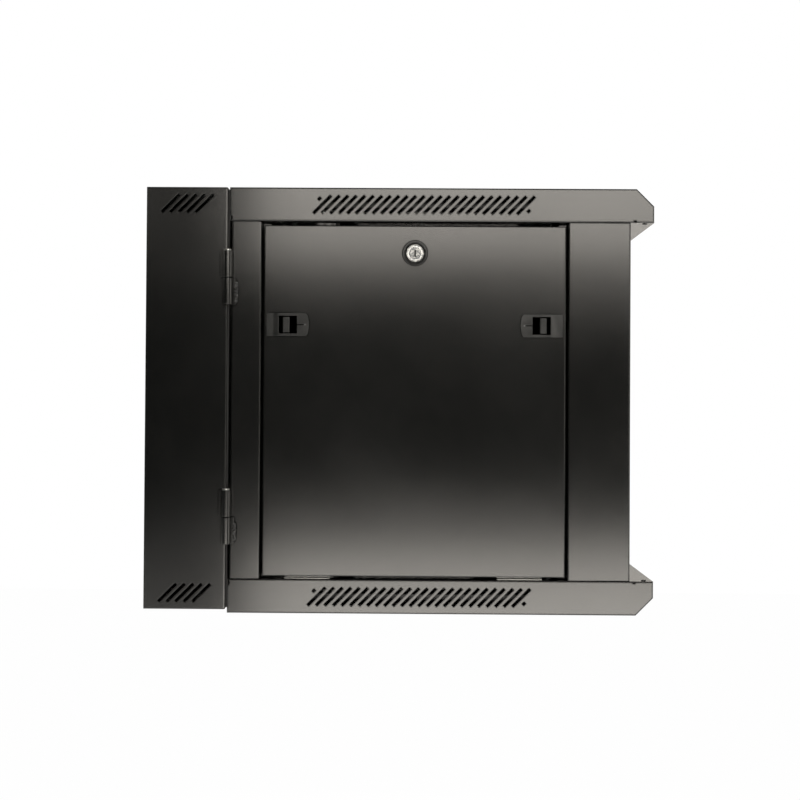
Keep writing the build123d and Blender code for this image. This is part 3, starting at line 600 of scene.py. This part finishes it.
latchDot = {
    "radius": 0.0006,
    "segments": 20,
    "rings": 12,
    "rise": 0.0002,
    "fromOuterEnd": 0.0452,    # of the plate
}


def addLatchDots(hand, body):
    low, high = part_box(hand + "_latch_bases")
    face = low.x if hand == "left" else high.x
    outward = math.copysign(1, face)
    depth = face + outward * (latchDot["rise"] - latchDot["radius"])
    height = (low.z + high.z) / 2
    inner = latchDot["fromOuterEnd"]
    for number, along in enumerate((high.y - inner, low.y + inner)):
        clearSelection()
        bpy.ops.mesh.primitive_uv_sphere_add(
            segments=latchDot["segments"], ring_count=latchDot["rings"],
            radius=latchDot["radius"], location=(depth, along, height))
        dot = bpy.context.object
        dot.name = hand + "LatchDot" + str(number + 1)
        settle(dot, body, "zinc")


addLatchDots("left", "left_side_panel")
addLatchDots("right", "right_side_panel")
print("latch dots added")

# Turned rings on the dished bezel of each panel lock

bezelRings = [
    {"radius": 0.01440, "thickness": 0.00032, "rise": 0.00082},
    {"radius": 0.01235, "thickness": 0.00026, "rise": -0.00010},
    {"radius": 0.01125, "thickness": 0.00022, "rise": -0.00105},
]
ringSegments = {"major_segments": 96, "minor_segments": 12}


def addBezelRings(hand, body):
    low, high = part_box(hand + "_lock_bezel")
    panelLow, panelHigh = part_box(hand + "_panel")
    face = panelLow.x if hand == "left" else panelHigh.x
    outward = math.copysign(1, face)
    middle = (low + high) / 2
    for number, ring in enumerate(bezelRings):
        clearSelection()
        place = (face + outward * ring["rise"], middle.y, middle.z)
        bpy.ops.mesh.primitive_torus_add(
            major_radius=ring["radius"], minor_radius=ring["thickness"],
            location=place, rotation=(0, math.pi / 2, 0), **ringSegments)
        torus = bpy.context.object
        torus.name = hand + "BezelRing" + str(number + 1)
        settle(torus, body, "black_plastic", ringPlastic)


ringPlastic = mouldedPlastic("ringGrey")
addBezelRings("left", "left_side_panel")
addBezelRings("right", "right_side_panel")
print("bezel rings added")

# Foam strips that the wall section carries in the joint

foamStrip = {
    "inset": 0.0025,      # from the outside
    "width": 0.006,
    "thickness": 0.0017,  # in a joint of 2 mm
}


def addFoam(name, place, size):
    clearSelection()
    bpy.ops.mesh.primitive_cube_add(size=1, location=place, scale=size)
    strip = bpy.context.object
    strip.name = name
    settle(strip, "wall_section", "seal")


def addFoamRing():
    low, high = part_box("wall_frame")
    middle = (low + high) / 2
    width, deep = foamStrip["width"], foamStrip["thickness"]
    along = low.y - deep / 2
    inset = foamStrip["inset"] + width / 2
    tall = high.z - low.z - 2 * foamStrip["inset"]
    wide = high.x - low.x - 2 * foamStrip["inset"] - 2 * width
    addFoam("leftJointFoam", (low.x + inset, along, middle.z), (width, deep, tall))
    addFoam("rightJointFoam", (high.x - inset, along, middle.z), (width, deep, tall))
    addFoam("upperJointFoam", (middle.x, along, high.z - inset), (wide, deep, width))
    addFoam("lowerJointFoam", (middle.x, along, low.z + inset), (wide, deep, width))


addFoamRing()
print("joint foam added")

# Studio: pale floor, white surround, soft lamps

floorLook = {
    "size": 14.0,
    "drop": 1.3,          # below the cabinet's middle, which hangs on a wall
    "colour": (0.86, 0.86, 0.85),
    "roughness": 0.8,
    "glow": 0.985,        # share of plain white that the camera sees
    "mirrored": 0.12,     # the same for metal and gloss
}
surround = {
    "ceilingLow": 0.93,   # sine of the height where the dark room starts to lighten
    "ceilingHigh": 0.995,
    "dark": 0.004,
    "mirrored": 0.40,     # what metal and gloss show straight above
    "diffuse": 0.50,
}


def whiteSeen(tree, direct, mirrored, diffuse=0):
    path = tree.nodes.new("ShaderNodeLightPath")
    rays = path.outputs
    straight = addMath(tree, "MAXIMUM", rays["Is Camera Ray"], rays["Is Transmission Ray"])
    shares = [addMath(tree, "MULTIPLY", ray, share) for ray, share in (
        (straight, direct), (rays["Is Glossy Ray"], mirrored), (rays["Is Diffuse Ray"], diffuse))]
    return addMath(tree, "MAXIMUM", addMath(tree, "MAXIMUM", *shares[:2]), shares[2])


def addFloor(look):
    clearSelection()
    bpy.ops.mesh.primitive_plane_add(
        size=look["size"], location=(0, cadLow.y / 2, -look["drop"]))
    floor = bpy.context.object
    floor.name = "paleFloor"
    material, tree, shader = newMaterial("paleFloor")
    shader.inputs["Base Color"].default_value = (*look["colour"], 1)
    shader.inputs["Roughness"].default_value = look["roughness"]
    glow = tree.nodes.new("ShaderNodeEmission")
    mix = tree.nodes.new("ShaderNodeMixShader")
    tree.links.new(whiteSeen(tree, look["glow"], look["mirrored"]), mix.inputs["Fac"])
    tree.links.new(shader.outputs["BSDF"], mix.inputs[1])
    tree.links.new(glow.outputs["Emission"], mix.inputs[2])
    output = tree.nodes["Material Output"]
    tree.links.new(mix.outputs["Shader"], output.inputs["Surface"])
    floor.data.materials.append(material)


def addSurround(look):
    world = bpy.data.worlds.new("surround")
    bpy.context.scene.world = world
    world.use_nodes = True
    tree = world.node_tree
    background = tree.nodes["Background"]
    background.inputs["Color"].default_value = (1, 1, 1, 1)
    place = tree.nodes.new("ShaderNodeTexCoord")
    split = tree.nodes.new("ShaderNodeSeparateXYZ")
    tree.links.new(place.outputs["Generated"], split.inputs["Vector"])
    height = addMath(tree, "ABSOLUTE", split.outputs["Z"])
    ceiling = spread(tree, height, look["dark"], look["mirrored"],
                     look["ceilingLow"], look["ceilingHigh"])
    seen = whiteSeen(tree, 1, ceiling, look["diffuse"])
    tree.links.new(seen, background.inputs["Strength"])


# Soft boxes stand above and below each side of the cabinet
softBoxes = [
    {"name": "leftSide", "toward": (1, 0), "distance": 2.5,
     "shift": -0.445, "width": 1.79, "brightness": 3.05},
    {"name": "rearFill", "toward": (1, 0), "distance": 2.5,
     "shift": 1.0, "width": 0.66, "brightness": 0.22},
    {"name": "frontSide", "toward": (0, 1), "distance": 2.7,
     "shift": 0.0, "width": 1.6, "brightness": 1.5},
    {"name": "rightSide", "toward": (-1, 0), "distance": 2.5,
     "shift": 0.10, "width": 1.6, "brightness": 1.5},
    {"name": "rearSide", "toward": (0, -1), "distance": 2.3,
     "shift": 0.0, "width": 1.6, "brightness": 1.5},
]
boxHeights = {"upper": (0.42, 1.12), "lower": (-1.06, -0.425)}
sideCard = {
    "place": (2.4, -1.05, 0.0),
    "facing": (-1, 0.3, 0),
    "width": 0.6,
    "tall": 1.0,
    "brightness": 0.36,
}
# Low strips that the hinge barrels mirror: angle from the left side toward the front
strips = [
    {"name": "nearStrip", "angle": 35, "distance": 2.7,
     "width": 0.50, "tall": 0.9, "brightness": 1.25},
    {"name": "frontStrip", "angle": 88, "distance": 2.4,
     "width": 1.3, "tall": 0.8, "brightness": 0.9},
]
lampColour = (1.0, 0.955, 0.885)
lampPower = 4  # watts per square metre for a brightness of 1


def addLamp(name, place, facing, width, tall, brightness):
    data = bpy.data.lights.new(name, "AREA")
    data.shape = "RECTANGLE"
    data.size = width
    data.size_y = tall
    data.energy = brightness * lampPower * width * tall
    data.color = lampColour
    lamp = bpy.data.objects.new(name, data)
    bpy.context.scene.collection.objects.link(lamp)
    lamp.location = place
    lamp.rotation_euler = Vector(facing).to_track_quat("-Z", "Y").to_euler()
    lamp.visible_camera = False
    lamp.visible_transmission = False


def addSoftBoxes():
    middle = (cadLow + cadHigh) / 2
    for box in softBoxes:
        forward = Vector((*box["toward"], 0))
        across = Vector((-forward.y, forward.x, 0))
        for level, (low, high) in boxHeights.items():
            place = middle - forward * box["distance"] + across * box["shift"]
            place.z = (low + high) / 2
            name = box["name"] + level.capitalize()
            addLamp(name, place, forward, box["width"], high - low, box["brightness"])


def addStrip(strip):
    hinge = Vector((cadLow.x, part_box("hinge_pins")[0].y, 0))
    angle = math.radians(strip["angle"])
    outward = Vector((-math.cos(angle), -math.sin(angle), 0))
    place = hinge + outward * strip["distance"]
    addLamp(strip["name"], place, -outward, strip["width"], strip["tall"], strip["brightness"])


addFloor(floorLook)
addSurround(surround)
addSoftBoxes()
addLamp("sideCard", **sideCard)
for lowStrip in strips:
    addStrip(lowStrip)
bpy.context.scene.view_settings.view_transform = "Standard"
print("studio set")
